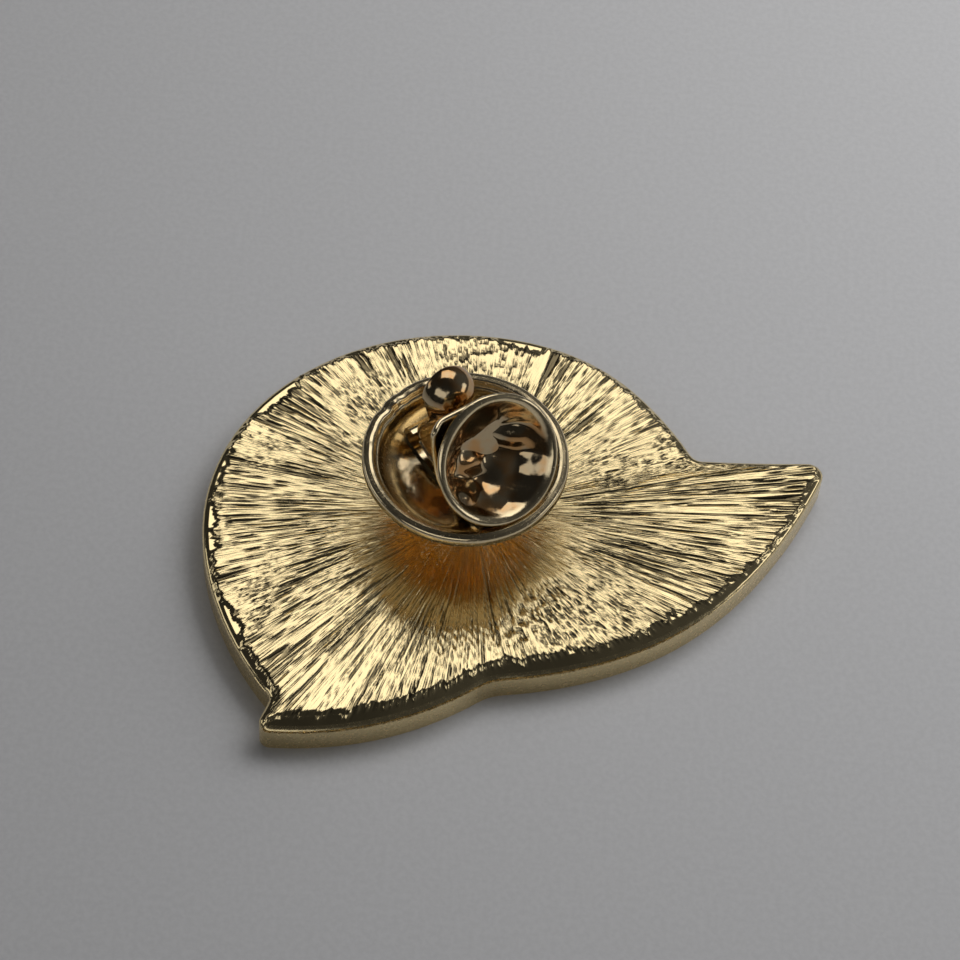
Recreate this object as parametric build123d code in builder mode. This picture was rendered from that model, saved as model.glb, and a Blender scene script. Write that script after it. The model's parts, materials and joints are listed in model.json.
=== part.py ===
from build123d import *
import os
from math import cos, radians, sin

os.makedirs("parts", exist_ok=True)

# Cap-shaped enamel pin lying on its face, with a butterfly clutch on its post. Millimetres.
# Origin: where the post's axis meets the face's plane. +Z runs from the face to the clutch.

# Driving dimensions
plate_thickness = 2.0
edge_round = 0.3
border_width = 0.8
line_width = 0.45
enamel_depth = 0.6

post_radius = 0.55
post_tip_z = 8.6
pad_radius = 1.25
pad_height = 0.25
solder_radius = 1.65

cup_gap = 3.0
cup_radius = 5.75
cup_floor_thickness = 0.35
cup_rim_height = 1.75
rim_bead_radius = 0.3
cup_bore_radius = 0.65

sheet = 0.3
clip_turn = 38
clip_width = 3.0
jaw_clearance = 0.05
pivot_offset = 2.5
pivot_height = 1.3

ear_radius = 3.6
ear_depth = 1.2
ear_center = (2.8, 4.8)
ear_tilt = 38

dome_radius = 1.45
dome_center = (-2.2, 5.3)
dome_tilt = 53

# Derived places
back_z = plate_thickness
cup_floor_z = back_z + cup_gap + cup_floor_thickness
pad_top_z = back_z + pad_height
notch_radius = post_radius + jaw_clearance

# Directions of the clip: outward is from the post to the near wing, across runs along the folds
outward = Vector(sin(radians(clip_turn)), -cos(radians(clip_turn)), 0)
across = Vector(cos(radians(clip_turn)), sin(radians(clip_turn)), 0)
side_plane = Plane(origin=(0, 0, cup_floor_z), x_dir=outward, z_dir=-across)


def clip_point(reach, height):
    """A point on the clip's middle plane: reach outward from the post, height above the cup's floor."""
    return outward * reach + Vector(0, 0, cup_floor_z + height)


def clip_direction(tilt):
    """A direction in the clip's middle plane, tilted up from outward by so many degrees."""
    return outward * cos(radians(tilt)) + Vector(0, 0, sin(radians(tilt)))


# ---------------------------------------------------------------- outline
# Corners of the cap's outline, before rounding
notch_front = (13.0, 4.85)
brim_tip = (20.75, 5.5)
wave = (2.45, -10.85)
tail = (-10.0, -15.3)
notch_rear = (-9.3, -13.2)
corner_rounds = {notch_front: 0.8, brim_tip: 0.8, wave: 3.0, tail: 0.6, notch_rear: 0.6}

with BuildSketch() as sharp_outline:
    with BuildLine():
        Spline(
            notch_rear,
            (-13.05, -7.4),
            (-14.35, -0.8),
            (-12.5, 5.4),
            (-7.2, 10.5),
            (0.5, 12.5),
            (7.3, 10.85),
            (10.9, 7.75),
            notch_front,
        )
        ThreePointArc(notch_front, (16.6, 5.05), brim_tip)
        Spline(brim_tip, (17.55, -1.2), (12.1, -7.15), (7.0, -9.75), wave)
        Spline(wave, (-3.6, -14.3), tail)
        Line(tail, notch_rear)
    make_face()

with BuildSketch() as outline:
    add(sharp_outline.sketch)
    for corner, radius in corner_rounds.items():
        fillet(outline.vertices().sort_by_distance(corner)[0], radius)

# ---------------------------------------------------------------- face design
# Raised metal lines between the enamel cells, and where the small round details sit
brim_seam = ((12.6, 6.0), (9.4, -3.9), (1.6, -12.4))
trim_seam = ((17.2, 6.6), (13.4, -2.6), (3.2, -12.6))
front_seam = ((-9.3, 9.6), (1.3, 0.6), (3.9, -8.3))
rear_seam = ((-9.3, 9.6), (-6.9, -1.5), (-6.6, -10.6))
band_seam = ((7.6, -6.6), (-2.0, -10.5), (-13.0, -10.6))
strap_seam = ((-6.6, -10.2), (-6.3, -12.8), (-6.9, -16.4))
button_center = (-8.9, 7.6)
button_radius = 1.2
eyelets = [(2.6, 6.2), (-3.4, 2.4), (-10.4, -0.6)]
eyelet_radius = 0.7

with BuildSketch() as cells:
    add(sharp_outline.sketch)
    trace(sharp_outline.edges(), line_width=2 * border_width, mode=Mode.SUBTRACT)
    for seam in (brim_seam, trim_seam, front_seam, rear_seam, band_seam, strap_seam):
        with BuildLine() as seam_line:
            ThreePointArc(*seam)
        trace(seam_line.line, line_width=line_width, mode=Mode.SUBTRACT)
    with Locations(*eyelets):
        Circle(eyelet_radius, mode=Mode.SUBTRACT)
    with Locations(button_center):
        Circle(button_radius + line_width, mode=Mode.SUBTRACT)
        Circle(button_radius)

# A point inside each enamel cell
cell_points = {
    "enamel_front_panel": (6.0, 3.0),
    "enamel_side_panel": (-2.5, -4.0),
    "enamel_rear_panel": (-11.0, -4.0),
    "enamel_band": (-2.0, -11.8),
    "enamel_strap": (-8.3, -12.9),
    "enamel_visor": (11.6, -3.4),
    "enamel_visor_trim": (15.6, -2.6),
    "enamel_button": button_center,
}

# ---------------------------------------------------------------- plate and enamel
with BuildPart() as plate:
    with BuildSketch():
        add(outline.sketch)
    extrude(amount=plate_thickness)
    fillet(plate.faces().sort_by(Axis.Z)[-1].outer_wire().edges(), edge_round)
    with BuildSketch():
        for point in cell_points.values():
            add(cells.faces().sort_by_distance((*point, 0))[0])
    extrude(amount=enamel_depth, mode=Mode.SUBTRACT)
plate.part.label = "plate"
export_step(plate.part, "parts/plate.step")

for cell_name, point in cell_points.items():
    with BuildPart() as enamel:
        with BuildSketch():
            add(cells.faces().sort_by_distance((*point, 0))[0])
        extrude(amount=enamel_depth)
    enamel.part.label = cell_name
    export_step(enamel.part, f"parts/{cell_name}.step")

# ---------------------------------------------------------------- post
groove_z = post_tip_z - 1.9
groove_height = 0.5
groove_radius = 0.42
cone_height = 1.3
tip_radius = 0.12

with BuildPart() as post:
    with BuildSketch(Plane.XZ):
        with BuildLine():
            Polyline(
                (0, back_z),
                (pad_radius, back_z),
                (pad_radius, pad_top_z),
                (post_radius, pad_top_z),
                (post_radius, groove_z),
            )
            ThreePointArc(
                (post_radius, groove_z),
                (groove_radius, groove_z + groove_height / 2),
                (post_radius, groove_z + groove_height),
            )
            Polyline(
                (post_radius, groove_z + groove_height),
                (post_radius, post_tip_z - cone_height),
                (tip_radius, post_tip_z - tip_radius / 2),
                (0, post_tip_z),
                (0, back_z),
            )
        make_face()
    revolve(axis=Axis.Z)
post.part.label = "post"
export_step(post.part, "parts/post.step")

with BuildPart() as solder:
    with BuildSketch(Plane.XZ):
        with BuildLine():
            Polyline(
                (pad_radius, pad_top_z),
                (pad_radius, back_z),
                (solder_radius, back_z),
                (pad_radius + 0.12, back_z + 0.1),
                close=True,
            )
        make_face()
    revolve(axis=Axis.Z)
solder.part.label = "solder"
export_step(solder.part, "parts/solder.step")

# ---------------------------------------------------------------- clutch cup
floor_edge = 4.2
rim_top = cup_floor_z + cup_rim_height
inner_rim_radius = cup_radius - 2 * rim_bead_radius

with BuildPart() as clutch_cup:
    with BuildSketch(Plane.XZ):
        with BuildLine():
            Line(
                (cup_bore_radius, cup_floor_z - cup_floor_thickness),
                (floor_edge, cup_floor_z - cup_floor_thickness),
            )
            ThreePointArc(
                (floor_edge, cup_floor_z - cup_floor_thickness),
                (5.0, cup_floor_z + 0.3),
                (cup_radius, rim_top),
            )
            ThreePointArc(
                (cup_radius, rim_top),
                (cup_radius - rim_bead_radius, rim_top + rim_bead_radius),
                (inner_rim_radius, rim_top),
            )
            ThreePointArc(
                (inner_rim_radius, rim_top),
                (4.72, cup_floor_z + 0.6),
                (floor_edge, cup_floor_z),
            )
            Polyline(
                (floor_edge, cup_floor_z),
                (cup_bore_radius, cup_floor_z),
                (cup_bore_radius, cup_floor_z - cup_floor_thickness),
            )
        make_face()
    revolve(axis=Axis.Z)
clutch_cup.part.label = "clutch_cup"
export_step(clutch_cup.part, "parts/clutch_cup.step")

# ---------------------------------------------------------------- spring clip
base_lift = 0.02
base_half_length = 3.1
curl_end = pivot_offset + 0.45
post_window_radius = 1.0
base_mid = base_lift + sheet / 2
curl_rise = (pivot_height - base_mid) / 2

with BuildPart() as clip_base:
    with BuildSketch(side_plane):
        for way in (-1, 1):
            with BuildLine() as strip_line:
                Line((0, base_mid), (way * base_half_length, base_mid))
                ThreePointArc(
                    (way * base_half_length, base_mid),
                    (way * (base_half_length + curl_rise), base_mid + curl_rise),
                    (way * base_half_length, pivot_height),
                )
                Line((way * base_half_length, pivot_height), (way * curl_end, pivot_height))
            trace(strip_line.line, line_width=sheet)
    extrude(amount=clip_width / 2, both=True)
    with BuildSketch(Plane.XY.offset(cup_floor_z)):
        Circle(post_window_radius)
    extrude(amount=base_lift + sheet + 0.1, mode=Mode.SUBTRACT)
clip_base.part.label = "clip_base"
export_step(clip_base.part, "parts/clip_base.step")


# Height of the jaw's tip above the cup's floor, and the rounded fold that a wing turns about
jaw_height = 0.75
jaw_reach = 0.35
fold_radius = 0.2

ear_axis = clip_direction(ear_tilt)
ear_uphill = clip_direction(ear_tilt + 90)
ear_plane = Plane(
    origin=clip_point(*ear_center), x_dir=ear_uphill, z_dir=ear_uphill.cross(ear_axis)
)

with BuildPart() as near_wing:
    with BuildSketch(side_plane):
        with BuildLine() as near_strip:
            Polyline(
                (jaw_reach, jaw_height),
                (pivot_offset, pivot_height),
                (3.0, 2.9),
            )
        trace(near_strip.line, line_width=sheet)
        with Locations((pivot_offset, pivot_height)):
            Circle(fold_radius)
    extrude(amount=clip_width / 2, both=True)
    with BuildSketch(ear_plane):
        with BuildLine():
            ThreePointArc((0, -ear_depth), (1.7, -0.9), (ear_radius - sheet, 0))
            Line((ear_radius - sheet, 0), (ear_radius, 0))
            ThreePointArc(
                (ear_radius, 0), (1.85, -0.9 - sheet), (0, -ear_depth - sheet)
            )
            Line((0, -ear_depth - sheet), (0, -ear_depth))
        make_face()
    revolve(axis=Axis(origin=clip_point(*ear_center), direction=ear_axis))
    with BuildSketch(Plane.XY.offset(cup_floor_z)):
        Circle(notch_radius)
    extrude(amount=2 * jaw_height, mode=Mode.SUBTRACT)
near_wing.part.label = "near_wing"
export_step(near_wing.part, "parts/near_wing.step")

dome_axis = clip_direction(dome_tilt)
dome_rim = clip_direction(dome_tilt - 90)
dome_plane = Plane(
    origin=clip_point(*dome_center), x_dir=dome_rim, z_dir=dome_rim.cross(dome_axis)
)

with BuildPart() as far_wing:
    with BuildSketch(side_plane):
        with BuildLine() as far_strip:
            Polyline(
                (-jaw_reach, jaw_height),
                (-pivot_offset, pivot_height),
                (-2.6, 2.2),
                (-1.02, 4.7),
            )
        trace(far_strip.line, line_width=sheet)
        with Locations((-pivot_offset, pivot_height)):
            Circle(fold_radius)
    extrude(amount=clip_width / 2, both=True)
    with BuildSketch(dome_plane):
        with BuildLine():
            CenterArc((0, 0), dome_radius, 0, 90)
            Line((0, dome_radius), (0, dome_radius - sheet))
            CenterArc((0, 0), dome_radius - sheet, 0, 90)
            Line((dome_radius - sheet, 0), (dome_radius, 0))
        make_face()
    revolve(axis=Axis(origin=clip_point(*dome_center), direction=dome_axis))
    with BuildSketch(Plane.XY.offset(cup_floor_z)):
        Circle(notch_radius)
    extrude(amount=2 * jaw_height, mode=Mode.SUBTRACT)
far_wing.part.label = "far_wing"
export_step(far_wing.part, "parts/far_wing.step")
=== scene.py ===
import json
import math

import bmesh
import bpy
from bpy.props import FloatProperty, FloatVectorProperty, IntProperty, PointerProperty
from mathutils import Matrix, Vector
from mathutils.bvhtree import BVHTree
from mathutils.kdtree import KDTree


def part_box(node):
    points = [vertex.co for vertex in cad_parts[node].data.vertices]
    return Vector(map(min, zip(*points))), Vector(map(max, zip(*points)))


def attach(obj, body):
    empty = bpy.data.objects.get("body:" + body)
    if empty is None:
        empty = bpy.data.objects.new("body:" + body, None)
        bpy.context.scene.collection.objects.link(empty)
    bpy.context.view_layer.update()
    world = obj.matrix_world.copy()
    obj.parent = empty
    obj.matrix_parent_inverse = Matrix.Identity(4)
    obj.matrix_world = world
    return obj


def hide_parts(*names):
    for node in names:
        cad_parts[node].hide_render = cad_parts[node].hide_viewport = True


bl_info = {
    "name": "Enamel Pin With Butterfly Clutch",
    "version": (1, 0, 0),
    "blender": (4, 5, 0),
    "location": "View3D > Sidebar > Pin",
    "description": "Builds the looks of a cap-shaped enamel pin and its butterfly clutch",
    "category": "Add Mesh",
}

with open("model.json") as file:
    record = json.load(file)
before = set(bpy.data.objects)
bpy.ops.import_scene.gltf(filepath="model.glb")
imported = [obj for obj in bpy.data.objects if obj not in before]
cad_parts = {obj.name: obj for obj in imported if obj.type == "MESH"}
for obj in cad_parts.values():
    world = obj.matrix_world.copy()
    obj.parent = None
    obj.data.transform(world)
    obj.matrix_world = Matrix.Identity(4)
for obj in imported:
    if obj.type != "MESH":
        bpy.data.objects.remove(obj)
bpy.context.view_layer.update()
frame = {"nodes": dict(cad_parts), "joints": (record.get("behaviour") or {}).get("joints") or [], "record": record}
MM = 0.001
PER_METRE = 1000.0


# ---------------------------------------------------------------- places read from the frame
def joint(name):
    """The frame's joint of this name."""
    return next(row for row in frame["joints"] if row["name"] == name)


PLATE_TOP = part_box("plate")[1][2]
CUP_LOW, CUP_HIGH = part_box("clutch_cup")
CUP_RADIUS = (CUP_HIGH[0] - CUP_LOW[0]) / 2
NEAR_FOLD = Vector(joint("near_squeeze")["pos_m"])
OUTWARD = Vector((NEAR_FOLD.x, NEAR_FOLD.y, 0)).normalized()
ACROSS = Vector((-OUTWARD.y, OUTWARD.x, 0))
FOLD_REACH = math.hypot(NEAR_FOLD.x, NEAR_FOLD.y)
FOLD_Z = NEAR_FOLD.z
CUP_FLOOR_Z = joint("clip_spin")["pos_m"][2]


def clip_point(reach, side, height):
    """A point in the clip's own directions, in millimetres: outward, across, and up from the cup's floor."""
    flat = OUTWARD * reach * MM + ACROSS * side * MM
    return Vector((flat.x, flat.y, CUP_FLOOR_Z + height * MM))


# ---------------------------------------------------------------- settings
class PinPlateSettings(bpy.types.PropertyGroup):
    """The struck back and its plating"""

    ridge_height: FloatProperty(
        name="Ridge height", description="Height of the sunburst ridges", default=0.1 * MM,
        unit="LENGTH", precision=6,
    )
    ridge_turns: FloatProperty(
        name="Ridge turns", description="How fast the ridges follow each other round the post", default=38.0,
    )
    pebble_height: FloatProperty(
        name="Pebble height", description="Height of the hammered patches", default=0.085 * MM,
        unit="LENGTH", precision=6,
    )
    margin_width: FloatProperty(
        name="Margin width", description="Width of the smooth margin round the back", default=0.3 * MM,
        unit="LENGTH", precision=6,
    )
    seed: IntProperty(name="Seed", description="Seed of the struck texture", default=7)
    plating_color: FloatVectorProperty(
        name="Plating", description="Colour of the plating", subtype="COLOR", size=3,
        default=(1.0, 0.81, 0.45), min=0.0, max=1.0,
    )


class PinClutchSettings(bpy.types.PropertyGroup):
    """The butterfly clutch's sheet metal"""

    sheet: FloatProperty(
        name="Sheet", description="Thickness of the clutch's sheet metal", default=0.3 * MM,
        unit="LENGTH", precision=6,
    )
    rim_wobble: FloatProperty(
        name="Rim wobble", description="How unevenly the rim is rolled", default=0.11 * MM,
        unit="LENGTH", precision=6,
    )
    clutch_color: FloatVectorProperty(
        name="Clutch plating", description="Colour of the clutch's plating", subtype="COLOR", size=3,
        default=(0.98, 0.8, 0.5), min=0.0, max=1.0,
    )


class PinEnamelSettings(bpy.types.PropertyGroup):
    """The enamel's three colours"""

    navy: FloatVectorProperty(
        name="Crown enamel", description="Colour of the crown's cells", subtype="COLOR", size=3,
        default=(0.012, 0.03, 0.12), min=0.0, max=1.0,
    )
    red: FloatVectorProperty(
        name="Visor enamel", description="Colour of the visor, strap and button", subtype="COLOR", size=3,
        default=(0.42, 0.012, 0.018), min=0.0, max=1.0,
    )
    white: FloatVectorProperty(
        name="Band enamel", description="Colour of the band and the visor's trim", subtype="COLOR", size=3,
        default=(0.8, 0.77, 0.68), min=0.0, max=1.0,
    )


# ---------------------------------------------------------------- node helpers
def new_material(name):
    """An empty node material with its Principled shader and its output."""
    material = bpy.data.materials.new(name)
    material.use_nodes = True
    nodes = material.node_tree.nodes
    nodes.clear()
    output = nodes.new("ShaderNodeOutputMaterial")
    shader = nodes.new("ShaderNodeBsdfPrincipled")
    material.node_tree.links.new(shader.outputs["BSDF"], output.inputs["Surface"])
    return material, shader


class Wires:
    """Short calls that add nodes to a tree and join them."""

    def __init__(self, tree):
        self.tree = tree

    def node(self, kind, **settings):
        made = self.tree.nodes.new(kind)
        for key, value in settings.items():
            setattr(made, key, value)
        return made

    def feed(self, socket, value):
        if isinstance(value, bpy.types.NodeSocket):
            self.tree.links.new(value, socket)
        else:
            socket.default_value = value

    def math(self, operation, *values, clamp=False):
        made = self.node("ShaderNodeMath", operation=operation, use_clamp=clamp)
        for socket, value in zip(made.inputs, values):
            self.feed(socket, value)
        return made.outputs[0]

    def vector_math(self, operation, *values):
        made = self.node("ShaderNodeVectorMath", operation=operation)
        slots = {"SCALE": (0, 3)}.get(operation, (0, 1))
        for index, value in zip(slots, values):
            self.feed(made.inputs[index], value)
        return made.outputs[1 if operation in ("LENGTH", "DISTANCE", "DOT_PRODUCT") else 0]

    def combine(self, x, y, z):
        made = self.node("ShaderNodeCombineXYZ")
        for socket, value in zip(made.inputs, (x, y, z)):
            self.feed(socket, value)
        return made.outputs[0]

    def separate(self, vector):
        made = self.node("ShaderNodeSeparateXYZ")
        self.feed(made.inputs[0], vector)
        return made.outputs

    def noise(self, vector, scale, detail, roughness, w=None):
        made = self.node("ShaderNodeTexNoise", noise_dimensions="3D" if w is None else "4D")
        self.feed(made.inputs["Vector"], vector)
        self.feed(made.inputs["Scale"], scale)
        self.feed(made.inputs["Detail"], detail)
        self.feed(made.inputs["Roughness"], roughness)
        if w is not None:
            self.feed(made.inputs["W"], w)
        return made.outputs[0]

    def ramp(self, value, low, high, to_low=0.0, to_high=1.0):
        made = self.node("ShaderNodeMapRange", interpolation_type="SMOOTHSTEP")
        for index, number in enumerate((value, low, high, to_low, to_high)):
            self.feed(made.inputs[index], number)
        return made.outputs[0]

    def mix_color(self, factor, first, second):
        made = self.node("ShaderNodeMix", data_type="RGBA")
        self.feed(made.inputs[0], factor)
        self.feed(made.inputs[6], first)
        self.feed(made.inputs[7], second)
        return made.outputs[2]

    def object_mm(self):
        """Object coordinates in millimetres."""
        where = self.node("ShaderNodeTexCoord").outputs["Object"]
        return self.vector_math("SCALE", where, PER_METRE)

    def bump(self, height, strength, distance, normal=None):
        made = self.node("ShaderNodeBump")
        self.feed(made.inputs["Height"], height)
        self.feed(made.inputs["Strength"], strength)
        self.feed(made.inputs["Distance"], distance)
        if normal is not None:
            self.feed(made.inputs["Normal"], normal)
        return made.outputs[0]


def tinted(color, factor):
    """The colour made lighter or darker, as a node socket's four numbers."""
    return (*(min(1.0, channel * factor) for channel in color), 1.0)


# The point, in millimetres, that the sunburst's streaks run out from
BURST_CENTRE = (0.7, 0.0, 0.0)


def burst_vector(wires, place, turns, lengthwise):
    """Coordinates that run round and along the sunburst: noise read there makes radial streaks."""
    flat = wires.vector_math("MULTIPLY", place, (1.0, 1.0, 0.0))
    spoke = wires.vector_math("SUBTRACT", flat, BURST_CENTRE)
    length = wires.vector_math("LENGTH", spoke)
    way = wires.vector_math("NORMALIZE", spoke)
    round_trip = wires.vector_math("SCALE", way, turns)
    along = wires.combine(0.0, 0.0, wires.math("MULTIPLY", length, lengthwise))
    return wires.vector_math("ADD", round_trip, along)


# ---------------------------------------------------------------- materials
# Painted shade and painted bounce light in the plating's colour: a deep orange under the cup stands in for light
# bounced between cup and plate, and the dark tones inside the cup, ear and dome stand in for shade and dark
# reflections
PAINTED_BOUNCE_ORANGE = (1.0, 0.6, 0.16, 1.0)
PAINTED_SHADE_DARK = (0.24, 0.2, 0.13, 1.0)
PAINTED_SHADE_TAN = (0.56, 0.44, 0.27, 1.0)
PAINTED_SHADE_RED = (0.6, 0.34, 0.14, 1.0)


def struck_plating(color):
    """Bright plating on the struck back: painted shade darkening the valleys, radial streaks and fine pits."""
    material, shader = new_material("struck_plating")
    wires = Wires(material.node_tree)
    place = wires.object_mm()
    groove_shade = wires.node("ShaderNodeAttribute", attribute_name="groove_shade").outputs["Fac"]
    streaks = wires.noise(burst_vector(wires, place, 80.0, 0.14), 1.0, 3.0, 0.6)
    stains = wires.noise(place, 0.55, 3.0, 0.55)
    specks = wires.noise(place, 14.0, 2.0, 0.6)
    tone = wires.mix_color(wires.ramp(stains, 0.35, 0.7), tinted(color, 0.9), tinted(color, 1.0))
    tone = wires.mix_color(wires.ramp(streaks, 0.56, 0.78, 0.0, 0.4), tone, tinted(color, 0.5))
    # Painted shade: the plating is darkened almost to black down in the valleys of the relief.
    tone = wires.mix_color(wires.ramp(groove_shade, 0.15, 0.85, 0.0, 0.92), tone, tinted(color, 0.1))
    wires.feed(shader.inputs["Base Color"], tone)
    shader.inputs["Metallic"].default_value = 1.0
    dull = wires.ramp(stains, 0.3, 0.75, 0.1, 0.17)
    rough = wires.math("ADD", dull, wires.ramp(specks, 0.6, 0.8, 0.0, 0.1))
    wires.feed(shader.inputs["Roughness"], rough)
    struck = wires.node("ShaderNodeAttribute", attribute_name="struck").outputs["Fac"]
    normal = wires.bump(wires.math("MULTIPLY", streaks, struck), 0.8, 0.00005)
    normal = wires.bump(wires.math("MULTIPLY", specks, struck), 0.25, 0.00001, normal)
    wires.feed(shader.inputs["Normal"], normal)
    return material


def smooth_plating(name, color, roughness, wave, hollow=None, painted_bounce_below=None):
    """Polished plating on plain metal, with slow waves, fine scratches and a few dull spots.

    A hollow is a centre and a radius in millimetres, and the two dark tones painted inside it as shade. Below the
    given height, also in millimetres, the plating is painted a deep orange gold that stands in for bounced light.
    """
    material, shader = new_material(name)
    wires = Wires(material.node_tree)
    place = wires.object_mm()
    waves = wires.noise(place, 0.7, 2.0, 0.5)
    scratch_place = wires.vector_math("MULTIPLY", place, (0.8, 14.0, 5.0))
    scratches = wires.noise(scratch_place, 1.6, 3.0, 0.6)
    spots = wires.noise(place, 5.0, 3.0, 0.65)
    tone = wires.mix_color(wires.ramp(spots, 0.35, 0.7), tinted(color, 0.9), tinted(color, 1.0))
    # Painted shade: inside the hollow the plating's colour is swapped for two dark tones.
    if hollow:
        centre, radius, first, second = hollow
        away = wires.vector_math("DISTANCE", place, centre)
        inside = wires.ramp(away, radius + 0.12, radius - 0.12)
        painted_shade_tone = wires.mix_color(wires.ramp(waves, 0.4, 0.6), first, second)
        tone = wires.mix_color(inside, tone, painted_shade_tone)
    # Painted bounce light: below the given height the plating is coloured deep orange.
    if painted_bounce_below:
        low = wires.ramp(wires.separate(place)[2], painted_bounce_below + 0.25, painted_bounce_below - 0.25)
        tone = wires.mix_color(low, tone, PAINTED_BOUNCE_ORANGE)
    wires.feed(shader.inputs["Base Color"], tone)
    shader.inputs["Metallic"].default_value = 1.0
    dull = wires.ramp(spots, 0.5, 0.8, roughness, roughness + 0.12)
    if hollow:
        dull = wires.math("ADD", dull, wires.math("MULTIPLY", wires.math("SUBTRACT", 1.0, inside), 0.1))
    rough = wires.math("ADD", dull, wires.ramp(scratches, 0.55, 0.8, 0.0, 0.06))
    wires.feed(shader.inputs["Roughness"], rough)
    normal = wires.bump(waves, wave, 0.0004)
    normal = wires.bump(scratches, 0.08, 0.00002, normal)
    wires.feed(shader.inputs["Normal"], normal)
    return material


def solder_metal():
    """Dull solder with a grainy skin."""
    material, shader = new_material("solder_metal")
    wires = Wires(material.node_tree)
    place = wires.object_mm()
    grain = wires.noise(place, 9.0, 4.0, 0.6)
    tone = wires.mix_color(wires.ramp(grain, 0.3, 0.7), (0.42, 0.36, 0.24, 1), (0.68, 0.58, 0.38, 1))
    wires.feed(shader.inputs["Base Color"], tone)
    shader.inputs["Metallic"].default_value = 1.0
    wires.feed(shader.inputs["Roughness"], wires.ramp(grain, 0.2, 0.8, 0.3, 0.5))
    wires.feed(shader.inputs["Normal"], wires.bump(grain, 0.5, 0.00006))
    return material


def hard_enamel(name, color):
    """Polished hard enamel: a clear gloss over fired colour with faint grain and pinholes."""
    material, shader = new_material(name)
    wires = Wires(material.node_tree)
    place = wires.object_mm()
    cloud = wires.noise(place, 1.2, 3.0, 0.5)
    grain = wires.noise(place, 26.0, 2.0, 0.6)
    pits = wires.noise(place, 7.0, 1.0, 0.4)
    tone = wires.mix_color(wires.ramp(cloud, 0.3, 0.7), tinted(color, 0.86), tinted(color, 1.12))
    tone = wires.mix_color(wires.ramp(grain, 0.6, 0.8, 0.0, 0.25), tone, tinted(color, 1.5))
    wires.feed(shader.inputs["Base Color"], tone)
    wires.feed(shader.inputs["Roughness"], wires.ramp(grain, 0.4, 0.8, 0.1, 0.17))
    shader.inputs["IOR"].default_value = 1.54
    shader.inputs["Coat Weight"].default_value = 0.6
    shader.inputs["Coat Roughness"].default_value = 0.05
    normal = wires.bump(cloud, 0.1, 0.0002)
    normal = wires.bump(wires.ramp(pits, 0.74, 0.8), 0.3, 0.00003, normal)
    wires.feed(shader.inputs["Normal"], normal)
    return material


def studio_floor_material():
    """Pale matt card with a faint tooth."""
    material, shader = new_material("studio_floor")
    wires = Wires(material.node_tree)
    place = wires.object_mm()
    tooth = wires.noise(place, 3.0, 4.0, 0.6)
    tone = wires.mix_color(wires.ramp(tooth, 0.3, 0.7), (0.5, 0.5, 0.51, 1), (0.54, 0.54, 0.55, 1))
    wires.feed(shader.inputs["Base Color"], tone)
    shader.inputs["Roughness"].default_value = 0.7
    wires.feed(shader.inputs["Normal"], wires.bump(tooth, 0.06, 0.0001))
    return material


# ---------------------------------------------------------------- mesh helpers
def mesh_object(name, points, faces, material, smooth=True):
    """A new object at the origin from points in metres."""
    mesh = bpy.data.meshes.new(name)
    mesh.from_pydata([tuple(point) for point in points], [], faces)
    mesh.materials.append(material)
    made = bpy.data.objects.new(name, mesh)
    bpy.context.scene.collection.objects.link(made)
    tidy_mesh(made, smooth)
    return made


def tidy_mesh(made, smooth=True):
    """Merges doubles and turns every face outwards."""
    work = bmesh.new()
    work.from_mesh(made.data)
    bmesh.ops.remove_doubles(work, verts=work.verts, dist=1e-8)
    bmesh.ops.recalc_face_normals(work, faces=work.faces)
    work.to_mesh(made.data)
    work.free()
    for polygon in made.data.polygons:
        polygon.use_smooth = smooth


def bake_modifiers(made):
    """Turns an object's modifiers into its mesh."""
    graph = bpy.context.evaluated_depsgraph_get()
    baked = bpy.data.meshes.new_from_object(made.evaluated_get(graph), depsgraph=graph)
    baked.name = made.name
    made.modifiers.clear()
    old = made.data
    made.data = baked
    bpy.data.meshes.remove(old)


def repaint(node, material):
    """Gives a CAD node that stays its finished material."""
    made = frame["nodes"][node]
    made.data.materials.clear()
    made.data.materials.append(material)


# ---------------------------------------------------------------- the struck plate
SPOKES = 1280
FIELD_RINGS = 54
MARGIN_STEPS = (0.95, 0.8, 0.66, 0.52, 0.4, 0.3, 0.2, 0.12, 0.06)
FACE_DEPTH = 0.66 * MM
# How far the blank reaches down past the cut through the face, so that no gap shows
FACE_LAP = 0.03 * MM


def outline_loop():
    """Points round the plate's wall, evenly spaced along it, read from the CAD plate at mid height."""
    plate = frame["nodes"]["plate"]
    tree = BVHTree.FromPolygons(
        [vertex.co for vertex in plate.data.vertices],
        [tuple(polygon.vertices) for polygon in plate.data.polygons],
    )
    tries = 6000
    outside = 0.05
    middle = Vector((0, 0, PLATE_TOP * 0.6))
    fine = []
    for index in range(tries):
        angle = 2 * math.pi * index / tries
        way = Vector((math.cos(angle), math.sin(angle), 0))
        hit = tree.ray_cast(way * outside + middle, -way)[0]
        fine.append(Vector((hit.x, hit.y, 0)))
    lengths = [0.0]
    for here, there in zip(fine, fine[1:] + fine[:1]):
        lengths.append(lengths[-1] + (there - here).length)
    loop = []
    index = 0
    for spoke in range(SPOKES):
        wanted = lengths[-1] * spoke / SPOKES
        while lengths[index + 1] < wanted:
            index += 1
        share = (wanted - lengths[index]) / (lengths[index + 1] - lengths[index])
        loop.append(fine[index].lerp(fine[(index + 1) % tries], share))
    return loop


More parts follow.
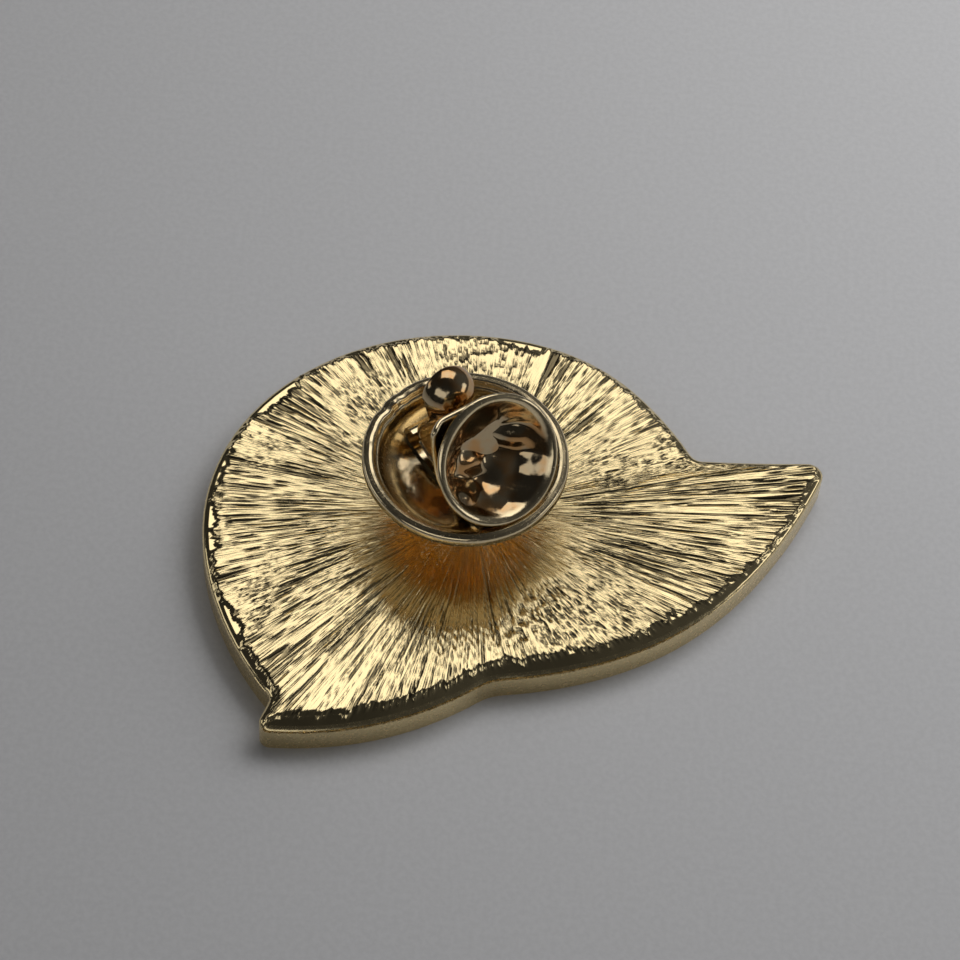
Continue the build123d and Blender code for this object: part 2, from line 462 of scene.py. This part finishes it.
def upper_blank():
    """The plate above its cells as a closed blank: a polar grid, a rolled edge, a wall and a floor.

    Gives points and faces, and for each point its way to the edge, whether it is on the back, and
    how far the nearest stretch of edge faces -Y.
    """
    loop = outline_loop()
    reaches = [corner.length for corner in loop]
    ways = [corner.normalized() for corner in loop]
    to_edge = KDTree(SPOKES)
    for index, corner in enumerate(loop):
        to_edge.insert(corner, index)
    to_edge.balance()

    facing = []
    for index in range(SPOKES):
        along = loop[(index + 4) % SPOKES] - loop[index - 4]
        facing.append(along.normalized().x)

    points = [Vector((0, 0, PLATE_TOP))]
    edge = [min(reaches)]
    top = [1.0]
    near = [0.0]

    def add_ring(places, height, on_back):
        for place in places:
            points.append(Vector((place.x, place.y, height)))
            _, index, away = to_edge.find(place)
            edge.append(away if on_back else 0.0)
            top.append(1.0 if on_back else 0.0)
            near.append(facing[index])

    field = MARGIN_STEPS[0] * MM
    for ring in range(1, FIELD_RINGS + 1):
        share = (ring / FIELD_RINGS) ** 0.8
        add_ring([way * (reach - field) * share for way, reach in zip(ways, reaches)], PLATE_TOP, True)
    for step in (*MARGIN_STEPS[1:], 0.0):
        add_ring([way * (reach - step * MM) for way, reach in zip(ways, reaches)], PLATE_TOP, True)
    wall_top = PLATE_TOP - 0.3 * MM
    for height in (wall_top, wall_top - 0.1 * MM, FACE_DEPTH + 0.1 * MM, FACE_DEPTH - FACE_LAP):
        add_ring(loop, height, False)
    points.append(Vector((0, 0, FACE_DEPTH - FACE_LAP)))
    edge.append(0.0)
    top.append(0.0)
    near.append(0.0)

    rings = FIELD_RINGS + len(MARGIN_STEPS) + 4
    faces = []
    for index in range(SPOKES):
        follow = (index + 1) % SPOKES
        faces.append((0, 1 + index, 1 + follow))
        for ring in range(rings - 1):
            inner = 1 + ring * SPOKES
            outer = inner + SPOKES
            faces.append((inner + index, outer + index, outer + follow, inner + follow))
        last = 1 + (rings - 1) * SPOKES
        faces.append((last + index, len(points) - 1, last + follow))
    return points, faces, edge, top, near


def face_half():
    """The CAD plate's face with its cells, cut off just above them and closed."""
    work = bmesh.new()
    work.from_mesh(frame["nodes"]["plate"].data)
    bmesh.ops.remove_doubles(work, verts=work.verts, dist=1e-7)
    everything = work.verts[:] + work.edges[:] + work.faces[:]
    cut = bmesh.ops.bisect_plane(
        work, geom=everything, plane_co=(0, 0, FACE_DEPTH), plane_no=(0, 0, 1), clear_outer=True
    )
    rim = [piece for piece in cut["geom_cut"] if isinstance(piece, bmesh.types.BMEdge)]
    bmesh.ops.contextual_create(work, geom=rim)
    mesh = bpy.data.meshes.new("plate_face")
    work.to_mesh(mesh)
    work.free()
    return mesh


# Hammered patches among the ridges: centre and radius, in millimetres
PEBBLED_PATCHES = (
    ((0.2, 10.8, 2.0), 3.0),
    ((-5.8, 6.6, 2.0), 2.6),
    ((8.4, -5.8, 2.0), 2.4),
    ((-11.5, 3.0, 2.0), 1.6),
)


def ridge_tree():
    """Geometry nodes that raise the sunburst ridges and hammered patches on the blank."""
    tree = bpy.data.node_groups.new("struck_back", "GeometryNodeTree")
    tree.is_modifier = True
    face = tree.interface
    face.new_socket("Geometry", in_out="INPUT", socket_type="NodeSocketGeometry")
    for name in ("Ridge Height", "Ridge Turns", "Pebble Height", "Margin Width", "Seed"):
        face.new_socket(name, in_out="INPUT", socket_type="NodeSocketFloat")
    face.new_socket("Material", in_out="INPUT", socket_type="NodeSocketMaterial")
    face.new_socket("Geometry", in_out="OUTPUT", socket_type="NodeSocketGeometry")
    wires = Wires(tree)
    inputs = wires.node("NodeGroupInput").outputs
    seed = inputs["Seed"]

    def attribute(name):
        made = wires.node("GeometryNodeInputNamedAttribute", data_type="FLOAT")
        made.inputs["Name"].default_value = name
        return made.outputs[0]

    place = wires.vector_math("SCALE", wires.node("GeometryNodeInputPosition").outputs[0], PER_METRE)
    edge_mm = wires.math("MULTIPLY", attribute("edge_way"), PER_METRE)
    margin_mm = wires.math("MULTIPLY", inputs["Margin Width"], PER_METRE)

    # Radial ridges: flat-topped where the coarse noise is over the valley line, and creased along
    coarse_place = burst_vector(wires, place, inputs["Ridge Turns"], 0.13)
    coarse = wires.noise(coarse_place, 1.0, 3.0, 0.6, w=seed)
    broad = wires.noise(burst_vector(wires, place, 10.0, 0.35), 1.0, 2.0, 0.5, w=seed)
    calm = wires.ramp(wires.noise(place, 0.3, 1.0, 0.5, w=seed), 0.4, 0.62, 0.385, 0.33)
    valley_line = wires.math("MULTIPLY_ADD", wires.math("SUBTRACT", broad, 0.5), 0.14, calm)
    height = wires.ramp(wires.math("SUBTRACT", coarse, valley_line), 0.0, 0.07)
    fine_place = burst_vector(wires, place, wires.math("MULTIPLY", inputs["Ridge Turns"], 1.4), 0.12)
    crossing = wires.math("SUBTRACT", wires.noise(fine_place, 1.0, 1.0, 0.5, w=seed), 0.5)
    crease = wires.ramp(wires.math("ABSOLUTE", crossing), 0.0, 0.05, 0.25, 1.0)
    height = wires.math("MULTIPLY", height, crease)
    ridge = wires.math("MULTIPLY_ADD", coarse, 0.9, height)

    # Hammered pebbles, in the listed patches and where a slow noise is high
    pebble = wires.noise(place, 1.5, 3.0, 0.62, w=seed)
    wrinkle = wires.math("ABSOLUTE", wires.math("SUBTRACT", pebble, 0.5))
    pebble_low = wires.ramp(wrinkle, 0.0, 0.045)
    patch = wires.noise(place, 0.17, 1.0, 0.5, w=seed)
    patch = wires.ramp(patch, 0.56, 0.66)
    for centre, radius in PEBBLED_PATCHES:
        away = wires.vector_math("DISTANCE", place, centre)
        patch = wires.math("MAXIMUM", patch, wires.ramp(away, radius * 1.3, radius * 0.6, 0.0, 0.85))

    # The smooth margin's ragged inner line, then the edge that rolls down outside it
    ragged = wires.noise(burst_vector(wires, place, 22.0, 0.15), 1.0, 4.0, 0.75, w=seed)
    bays = wires.noise(place, 0.35, 1.0, 0.5, w=seed)
    start = wires.math("MULTIPLY_ADD", wires.math("SUBTRACT", ragged, 0.5), 1.7, margin_mm)
    start = wires.math("MULTIPLY_ADD", wires.ramp(bays, 0.52, 0.7), 0.4, start)
    nearness = attribute("faces_near")
    start = wires.math("ADD", start, wires.ramp(nearness, 0.55, 0.9, 0.0, 0.5))
    inside = wires.math("SUBTRACT", edge_mm, start)
    plateau = wires.ramp(inside, -0.02, 0.14)
    lip = wires.math("SUBTRACT", 1.0, wires.math("DIVIDE", edge_mm, 0.2), clamp=True)
    lip = wires.math("MULTIPLY", wires.math("POWER", lip, 2.0), -0.13)
    shoulder = wires.ramp(nearness, 0.5, 0.9, 0.34, 0.85)
    drop = wires.math("SUBTRACT", wires.math("MINIMUM", edge_mm, shoulder), shoulder)
    roll = wires.math("MULTIPLY_ADD", drop, 0.38, lip)

    # The ridges are lower under the clutch, and give way to the pebbles
    sheltered = wires.ramp(wires.vector_math("LENGTH", place), 4.5, 8.5, 0.4, 1.0)
    fade = wires.math("MULTIPLY", wires.math("SUBTRACT", 1.0, patch), sheltered)
    ridge_part = wires.math("MULTIPLY", wires.math("MULTIPLY", ridge, fade), inputs["Ridge Height"])
    pebble_part = wires.math("MULTIPLY", pebble_low, patch)
    pebble_part = wires.math("MULTIPLY", pebble_part, inputs["Pebble Height"])
    relief = wires.math("MULTIPLY", wires.math("ADD", ridge_part, pebble_part), plateau)
    rise = wires.math("ADD", wires.math("MULTIPLY", roll, MM), relief)
    rise = wires.math("MULTIPLY", rise, attribute("is_top"))

    # What the finish reads: how deep in a valley of the ridges or pebbles a point is, which sets the painted shade
    # there, and whether it was struck at all
    low_ridge = wires.math("MULTIPLY", wires.math("SUBTRACT", 1.0, height), fade)
    low_pebble = wires.math("MULTIPLY", wires.math("SUBTRACT", 1.0, pebble_low), patch)
    depth = wires.math("MULTIPLY", wires.math("ADD", low_ridge, low_pebble), plateau)
    marked = inputs["Geometry"]
    for name, amount in (("groove_shade", depth), ("struck", plateau)):
        mark = wires.node("GeometryNodeStoreNamedAttribute", data_type="FLOAT", domain="POINT")
        wires.feed(mark.inputs["Geometry"], marked)
        mark.inputs["Name"].default_value = name
        wires.feed(mark.inputs["Value"], wires.math("MULTIPLY", amount, attribute("is_top")))
        marked = mark.outputs[0]

    move = wires.node("GeometryNodeSetPosition")
    wires.feed(move.inputs["Geometry"], marked)
    wires.feed(move.inputs["Offset"], wires.combine(0.0, 0.0, rise))
    realize = wires.node("GeometryNodeRealizeInstances")
    wires.feed(realize.inputs[0], move.outputs[0])
    dress = wires.node("GeometryNodeSetMaterial")
    wires.feed(dress.inputs["Geometry"], realize.outputs[0])
    wires.feed(dress.inputs["Material"], inputs["Material"])
    output = wires.node("NodeGroupOutput")
    wires.feed(output.inputs[0], dress.outputs[0])
    return tree


def set_inputs(modifier, values):
    """Sets a modifier's inputs by their sockets' identifiers."""
    for item in modifier.node_group.interface.items_tree:
        if item.item_type == "SOCKET" and item.in_out == "INPUT" and item.name in values:
            modifier[item.identifier] = values[item.name]


class PIN_OT_struck_plate(bpy.types.Operator):
    """Strikes the plate: its sunburst back, rolled edge and wall, over the face with its cells"""

    bl_idname = "pin.struck_plate"
    bl_label = "Struck Plate"

    def execute(self, context):
        settings = context.scene.pin_plate
        back_finish = struck_plating(settings.plating_color)
        wall_finish = smooth_plating("wall_plating", settings.plating_color, 0.24, 0.04)
        points, faces, edge, top, near = upper_blank()
        mesh = bpy.data.meshes.new("struck_plate")
        mesh.from_pydata([tuple(point) for point in points], [], faces)
        for name, numbers in (("edge_way", edge), ("is_top", top), ("faces_near", near)):
            layer = mesh.attributes.new(name, "FLOAT", "POINT")
            layer.data.foreach_set("value", numbers)
        mesh.materials.append(back_finish)
        plate = bpy.data.objects.new("struck_plate", mesh)
        context.scene.collection.objects.link(plate)
        modifier = plate.modifiers.new("relief", "NODES")
        modifier.node_group = ridge_tree()
        set_inputs(
            modifier,
            {
                "Ridge Height": settings.ridge_height,
                "Ridge Turns": settings.ridge_turns,
                "Pebble Height": settings.pebble_height,
                "Margin Width": settings.margin_width,
                "Seed": float(settings.seed),
                "Material": back_finish,
            },
        )
        bake_modifiers(plate)
        work = bmesh.new()
        work.from_mesh(plate.data)
        bmesh.ops.recalc_face_normals(work, faces=work.faces)
        work.from_mesh(face_half())
        for face in work.faces:
            centre = face.calc_center_median()
            face.smooth = centre.z > FACE_DEPTH
            face.material_index = 0 if centre.z > PLATE_TOP - 0.2 * MM else 1
        work.to_mesh(plate.data)
        work.free()
        plate.data.materials.append(wall_finish)
        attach(plate, "pin")
        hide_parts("plate")
        return {"FINISHED"}


# ---------------------------------------------------------------- post and solder
class PIN_OT_post_finish(bpy.types.Operator):
    """Gives the post and the solder round its foot their finishes"""

    bl_idname = "pin.post_finish"
    bl_label = "Post and Solder"

    def execute(self, context):
        color = context.scene.pin_plate.plating_color
        repaint("post", smooth_plating("post_plating", color, 0.14, 0.05))
        repaint("solder", solder_metal())
        return {"FINISHED"}


# ---------------------------------------------------------------- enamel
class PIN_OT_enamel(bpy.types.Operator):
    """Fires the enamel in the face's cells"""

    bl_idname = "pin.enamel"
    bl_label = "Enamel"

    def execute(self, context):
        settings = context.scene.pin_enamel
        shades = {
            "enamel_navy": settings.navy,
            "enamel_red": settings.red,
            "enamel_white": settings.white,
        }
        glazes = {slot: hard_enamel(slot, color) for slot, color in shades.items()}
        for row in frame["record"]["subparts"]:
            if row["material_slot"] in glazes:
                repaint(row["node"], glazes[row["material_slot"]])
        return {"FINISHED"}


# ---------------------------------------------------------------- clutch cup
def rounded(points, passes):
    """An open profile with its corners cut again and again, which rounds them."""
    for _ in range(passes):
        cut = [points[0]]
        for first, second in zip(points, points[1:]):
            cut.append(tuple(a * 0.75 + b * 0.25 for a, b in zip(first, second)))
            cut.append(tuple(a * 0.25 + b * 0.75 for a, b in zip(first, second)))
        cut.append(points[-1])
        points = cut
    return points


class PIN_OT_clutch_cup(bpy.types.Operator):
    """Spins the clutch's dished cup with its rolled, slightly uneven rim"""

    bl_idname = "pin.clutch_cup"
    bl_label = "Clutch Cup"

    def execute(self, context):
        settings = context.scene.pin_clutch
        wobble = settings.rim_wobble
        rim = CUP_RADIUS / MM
        rise = (CUP_HIGH[2] - CUP_FLOOR_Z) / MM
        low = (CUP_LOW[2] - CUP_FLOOR_Z) / MM
        bead = 0.36
        hole, hole_lip = 0.72, 0.64
        outside = [(hole, low), (3.3, low), (4.1, low + 0.08), (4.75, 0.42), (5.2, 0.95)]
        outside += [(rim - 0.12, rise - 0.85), (rim, rise - 0.62), (rim, rise - 0.12), (rim - bead, rise)]
        inside = [(rim - bead, rise), (rim - 1.7 * bead, rise - 0.06), (rim - 2.0 * bead, rise - 0.3)]
        inside += [(rim - 2.2 * bead, rise - 0.4), (rim - 2.6 * bead, rise - 0.44)]
        inside += [(rim - 2.8 * bead, rise - 0.75), (4.62, 0.7), (3.9, 0.2), (3.0, 0.04), (hole, 0.0)]
        profile = rounded(outside, 3) + rounded(inside, 3)[1:]
        lip = rounded([(hole, 0.0), (hole_lip, -0.05), (hole_lip, low + 0.05), (hole, low)], 2)
        profile = profile + lip[1:-1]
        steps = 240
        crimp_angle, crimp_spread = 2.45, 0.55
        points = []
        for step in range(steps):
            angle = 2 * math.pi * step / steps
            crimp = math.exp(-(((angle - crimp_angle) / crimp_spread) ** 2))
            swell = 0.45 * math.sin(3 * angle + 0.6) + 0.3 * math.sin(7 * angle + 1.9)
            swell += crimp * (1.1 * math.sin(17 * angle) + 0.7 * math.sin(29 * angle + 1.0))
            for reach, height in profile:
                hold = max(0.0, (height - 0.5) / (rise - 0.5)) ** 1.5 if reach > 4.5 else 0.0
                far = reach * MM - wobble * hold * (0.5 + 0.5 * abs(swell))
                tall = height * MM - 0.8 * wobble * hold * (0.5 + 0.5 * swell)
                points.append(
                    Vector((far * math.cos(angle), far * math.sin(angle), CUP_FLOOR_Z + tall))
                )
        count = len(profile)
        faces = []
        for step in range(steps):
            here = step * count
            there = (step + 1) % steps * count
            for index in range(count):
                follow = (index + 1) % count
                faces.append((here + index, there + index, there + follow, here + follow))
        # Painted shade inside the cup's bowl, and painted bounce light as deep orange plating under the cup.
        bowl = ((0.0, 0.0, CUP_HIGH[2] / MM + 1.6), 5.2, PAINTED_SHADE_DARK, PAINTED_SHADE_TAN)
        painted_bounce_height = CUP_FLOOR_Z / MM - 0.2
        material = smooth_plating("cup_plating", settings.clutch_color, 0.1, 0.1, bowl, painted_bounce_height)
        cup = mesh_object("dished_cup", points, faces, material)
        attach(cup, "clutch")
        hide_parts("clutch_cup")
        return {"FINISHED"}


# ---------------------------------------------------------------- spring clip
SHEET_SMOOTHING = 2


def sheet_patch(rows):
    """Faces of a grid of points, row by row, and the points in one list."""
    width = len(rows[0])
    points = [point for row in rows for point in row]
    faces = []
    for row in range(len(rows) - 1):
        for column in range(width - 1):
            here = row * width + column
            faces.append((here, here + 1, here + width + 1, here + width))
    return points, faces


def join_patches(patches):
    """Several patches' points and faces as one list of each."""
    points, faces = [], []
    for more_points, more_faces in patches:
        start = len(points)
        points += more_points
        faces += [tuple(start + index for index in face) for face in more_faces]
    return points, faces


def sheet_metal(name, patches, material, sheet):
    """A bent sheet of even thickness with rounded edges, from its middle surface."""
    points, faces = join_patches(patches)
    made = mesh_object(name, points, faces, material)
    thick = made.modifiers.new("sheet", "SOLIDIFY")
    thick.thickness = sheet
    thick.offset = 0.0
    thick.use_even_offset = True
    soft = made.modifiers.new("soft_edges", "SUBSURF")
    soft.levels = SHEET_SMOOTHING
    soft.render_levels = SHEET_SMOOTHING
    bake_modifiers(made)
    tidy_mesh(made)
    return made


# The jaws, in millimetres: half their width, the height of their tips above the cup's floor, the
# radius of the notch round the post, and how near the tips' corners come to the middle
JAW_HALF_WIDTH = 1.5
JAW_HEIGHT = 0.75
JAW_NOTCH = 0.62
JAW_GAP = 0.35


def jaw_patch(way):
    """A jaw from the fold to the post, with a half-round notch in its end."""
    columns = 12
    steps = 6
    fold = FOLD_REACH / MM
    fold_height = (FOLD_Z - CUP_FLOOR_Z) / MM
    rows = []
    for step in range(steps + 1):
        share = step / steps
        row = []
        for column in range(columns + 1):
            side = JAW_HALF_WIDTH * (2 * column / columns - 1)
            tip = JAW_GAP
            if abs(side) < JAW_NOTCH:
                tip = max(tip, math.sqrt(JAW_NOTCH**2 - side**2))
            reach = fold + (tip - fold) * share
            row.append(clip_point(way * reach, side, fold_height + (JAW_HEIGHT - fold_height) * share))
        rows.append(row)
    return sheet_patch(rows)


class PIN_OT_near_wing(bpy.types.Operator):
    """Presses the near wing: a round cupped ear, the leaf behind it and its jaw"""

    bl_idname = "pin.near_wing"
    bl_label = "Near Wing"

    def execute(self, context):
        settings = context.scene.pin_clutch
        ear_radius = 3.62
        ear_depth = 1.55
        tilt = math.radians(38)
        reach, height = 2.8, 4.8
        out = (math.cos(tilt), math.sin(tilt))
        flange = 0.9
        fold_rise = 0.4 * ear_radius
        fold_span = flange * ear_radius - fold_rise
        rings, spokes = 26, 80
        rows = []
        for ring in range(rings + 1):
            share = ring / rings
            row = []
            for spoke in range(spokes + 1):
                angle = 2 * math.pi * spoke / spokes
                side = ear_radius * share * math.cos(angle)
                rise = ear_radius * share * math.sin(angle)
                lip_start = flange - 0.06 * math.exp(-(((angle - 2.1) / 0.6) ** 2))
                bowl = max(0.0, 1 - (share / lip_start) ** 2.6)
                dents = math.sin(2.3 * side + 0.7) * math.cos(2.0 * rise - 0.4)
                dents += 0.7 * math.sin(3.3 * rise + 1.7 * side)
                deep = ear_depth * bowl
                if rise > fold_rise:
                    deep = min(deep, 0.8 * ear_depth * (lip_start * ear_radius - rise) / fold_span)
                else:
                    deep += 0.17 * dents * min(1.0, 2.2 * bowl) * min(1.0, 2 * (fold_rise - rise))
                if share > lip_start:
                    deep = -0.16 * math.sin(math.pi * (share - lip_start) / (1 - lip_start))
                row.append(
                    clip_point(
                        reach - out[0] * deep - out[1] * rise,
                        side,
                        height - out[1] * deep + out[0] * rise,
                    )
                )
            rows.append(row)
        ear = sheet_patch(rows)

        leaf_profile = rounded(
            [(0.62, 7.62), (0.66, 6.8), (0.95, 5.3), (1.5, 3.7), (2.35, 2.4), (2.6, 1.7), (2.5, 1.3)], 1
        )
        leaf_rows = []
        for index, (far, tall) in enumerate(leaf_profile):
            share = index / (len(leaf_profile) - 1)
            narrow = 1.6 * min(1.0, max(0.0, share - 0.5) / 0.3)
            uphill = (tall - height) * out[0] - (far - reach) * out[1]
            left = 3.15 - narrow - (0.35 if index == 0 else 0.0)
            right = min(left, math.sqrt(max(0.3, (0.96 * ear_radius) ** 2 - uphill**2)))
            columns = 12
            row = []
            for column in range(columns + 1):
                across = column / columns
                side = -left + (left + right) * across
                curl = 0.55 * max(0.0, 1 - across * 5) ** 1.5
                row.append(clip_point(far + curl, side - 0.2 * curl, tall))
            leaf_rows.append(row)
        leaf = sheet_patch(leaf_rows)
        jaw = jaw_patch(1)
        mouth = clip_point(reach - 0.2 * out[0], 0.0, height - 0.2 * out[1]) / MM
        # Painted shade and painted reflection: the ear's inside is coloured in dark reddish tones.
        bowl = (tuple(mouth), flange * ear_radius - 0.15, PAINTED_SHADE_TAN, PAINTED_SHADE_RED)
        material = smooth_plating("near_wing_plating", settings.clutch_color, 0.09, 0.14, bowl)
        wing = sheet_metal("near_wing_sheet", [ear, leaf, jaw], material, settings.sheet)
        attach(wing, "near_wing")
        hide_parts("near_wing")
        return {"FINISHED"}


class PIN_OT_far_wing(bpy.types.Operator):
    """Presses the far wing: a narrow tongue with a domed top, and its jaw"""

    bl_idname = "pin.far_wing"
    bl_label = "Far Wing"

    def execute(self, context):
        settings = context.scene.pin_clutch
        half = 1.4
        spine = [(-2.5, 1.3), (-2.7, 1.8), (-2.6, 2.4), (-2.15, 3.1), (-1.65, 3.8), (-1.2, 4.5)]
        centre = (-2.2, 5.3)
        dome = 1.42
        rows = []
        columns = 12
        for index, (reach, height) in enumerate(spine):
            bulge = 0.6 * (index / (len(spine) - 1)) ** 2
            row = []
            for column in range(columns + 1):
                across = 2 * column / columns - 1
                hollow = bulge * (across**2)
                row.append(clip_point(reach - hollow * 0.8, half * across, height - hollow * 0.35))
            rows.append(row)
        arc_steps = 9
        for step in range(1, arc_steps + 1):
            angle = math.radians(-37 + 150 * step / arc_steps)
            row = []
            for column in range(columns + 1):
                swing = math.radians(-86 + 172 * column / columns)
                ring = dome * math.cos(swing)
                row.append(
                    clip_point(
                        centre[0] + ring * math.cos(angle),
                        dome * math.sin(swing) * 1.02,
                        centre[1] + ring * math.sin(angle),
                    )
                )
            rows.append(row)
        tongue = sheet_patch(rows)
        jaw = jaw_patch(-1)
        # Painted shade and painted reflection: the dome's top is coloured in dark reddish tones.
        top = (tuple(clip_point(centre[0], 0.0, centre[1] + 0.2) / MM), 1.9, PAINTED_SHADE_TAN, PAINTED_SHADE_RED)
        material = smooth_plating("far_wing_plating", settings.clutch_color, 0.1, 0.25, top)
        wing = sheet_metal("far_wing_sheet", [tongue, jaw], material, settings.sheet * 0.9)
        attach(wing, "far_wing")
        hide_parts("far_wing")
        return {"FINISHED"}


class PIN_OT_clip_base(bpy.types.Operator):
    """Finishes the clip's base strip"""

    bl_idname = "pin.clip_base"
    bl_label = "Clip Base"

    def execute(self, context):
        color = context.scene.pin_clutch.clutch_color
        repaint("clip_base", smooth_plating("clip_plating", color, 0.12, 0.1))
        return {"FINISHED"}


# ---------------------------------------------------------------- stage
def area_light(name, target, azimuth, elevation, distance, size, radiance, tint=(1, 1, 1)):
    """A soft panel that looks at the target and has this brightness. Angles are in degrees.

    Azimuth 0 is behind the pin, on +Y, and 90 is to its right, on +X.
    """
    azimuth, elevation = math.radians(azimuth), math.radians(elevation)
    data = bpy.data.lights.new(name, "AREA")
    data.shape = "RECTANGLE"
    data.size, data.size_y = size
    data.energy = radiance * math.pi * size[0] * size[1]
    data.color = tint
    light = bpy.data.objects.new(name, data)
    away = Vector(
        (
            math.sin(azimuth) * math.cos(elevation),
            math.cos(azimuth) * math.cos(elevation),
            math.sin(elevation),
        )
    )
    light.location = target + away * distance
    light.rotation_euler = away.to_track_quat("Z", "Y").to_euler()
    bpy.context.scene.collection.objects.link(light)
    return light


def soft_world():
    """A dim surround, lighter to the right of the pin and behind it, and darker to the left and above."""
    world = bpy.data.worlds.new("studio")
    world.use_nodes = True
    tree = world.node_tree
    tree.nodes.clear()
    wires = Wires(tree)
    way = wires.node("ShaderNodeTexCoord").outputs["Generated"]
    lean = wires.vector_math("DOT_PRODUCT", way, (0.75, 0.35, -0.2))
    level = wires.ramp(lean, -0.3, 0.9, 0.02, 0.09)
    background = wires.node("ShaderNodeBackground")
    wires.feed(background.inputs["Color"], (0.95, 0.97, 1.0, 1.0))
    wires.feed(background.inputs["Strength"], level)
    output = wires.node("ShaderNodeOutputWorld")
    wires.feed(output.inputs["Surface"], background.outputs[0])
    bpy.context.scene.world = world


class PIN_OT_stage(bpy.types.Operator):
    """Sets the floor, the lights and the camera"""

    bl_idname = "pin.stage"
    bl_label = "Stage"

    def execute(self, context):
        half = 0.6
        corners = [(-half, -half, 0), (half, -half, 0), (half, half, 0), (-half, half, 0)]
        floor = mesh_object("floor", corners, [(0, 1, 2, 3)], studio_floor_material(), smooth=False)

        target = Vector((0.9, 2.07, 2.0)) * MM
        area_light("back_panel", target, 4, 57, 0.36, (0.3, 0.2), 1.3, (1.0, 0.98, 0.95))
        area_light("right_panel", target, 88, 20, 0.45, (0.24, 0.1), 1.1)
        area_light("left_panel", target, -84, 20, 0.45, (0.26, 0.12), 0.7)
        area_light("front_panel", target, 200, 37, 0.5, (0.42, 0.2), 0.7)
        # The fill lights the floor without showing as a spot in the polished metal
        fill = area_light("floor_fill", target, 50, 46, 0.15, (0.12, 0.12), 3.1)
        fill.visible_glossy = False
        soft_world()

        distance = 0.18
        elevation = math.radians(55)
        roll = math.radians(5)
        away = Vector((0, -math.cos(elevation), math.sin(elevation)))
        data = bpy.data.cameras.new("camera")
        data.lens = 119.4
        data.sensor_width = 36.0
        data.clip_start = 0.005
        camera = bpy.data.objects.new("camera", data)
        camera.location = target + away * distance
        turn = away.to_track_quat("Z", "Y").to_matrix()
        spin = Vector((0, 0, 1))
        camera.rotation_euler = (turn @ Matrix.Rotation(roll, 3, spin)).to_euler()
        context.scene.collection.objects.link(camera)
        context.scene.camera = camera
        context.scene.view_settings.view_transform = "Standard"
        return {"FINISHED"}


# ---------------------------------------------------------------- add-on
class PIN_PT_panel(bpy.types.Panel):
    """Lists the pin's pieces"""

    bl_idname = "PIN_PT_panel"
    bl_label = "Enamel Pin"
    bl_space_type = "VIEW_3D"
    bl_region_type = "UI"
    bl_category = "Pin"

    def draw(self, context):
        for piece in PIECES:
            self.layout.operator(piece.bl_idname)
        for name in SETTINGS:
            settings = getattr(context.scene, name)
            box = self.layout.box()
            for key in settings.bl_rna.properties.keys():
                if key not in ("rna_type", "name"):
                    box.prop(settings, key)


SETTINGS = {
    "pin_plate": PinPlateSettings,
    "pin_clutch": PinClutchSettings,
    "pin_enamel": PinEnamelSettings,
}
PIECES = (
    PIN_OT_struck_plate,
    PIN_OT_post_finish,
    PIN_OT_enamel,
    PIN_OT_clutch_cup,
    PIN_OT_clip_base,
    PIN_OT_near_wing,
    PIN_OT_far_wing,
    PIN_OT_stage,
)


def register():
    for kind in (*SETTINGS.values(), *PIECES, PIN_PT_panel):
        bpy.utils.register_class(kind)
    for name, kind in SETTINGS.items():
        setattr(bpy.types.Scene, name, PointerProperty(type=kind))


def unregister():
    for name in SETTINGS:
        delattr(bpy.types.Scene, name)
    for kind in (PIN_PT_panel, *reversed(PIECES), *reversed(tuple(SETTINGS.values()))):
        bpy.utils.unregister_class(kind)


def main():
    register()
    bpy.ops.pin.struck_plate()
    bpy.ops.pin.post_finish()
    bpy.ops.pin.enamel()
    bpy.ops.pin.clutch_cup()
    bpy.ops.pin.clip_base()
    bpy.ops.pin.near_wing()
    bpy.ops.pin.far_wing()
    bpy.ops.pin.stage()


if __name__ == "__main__":
    main()
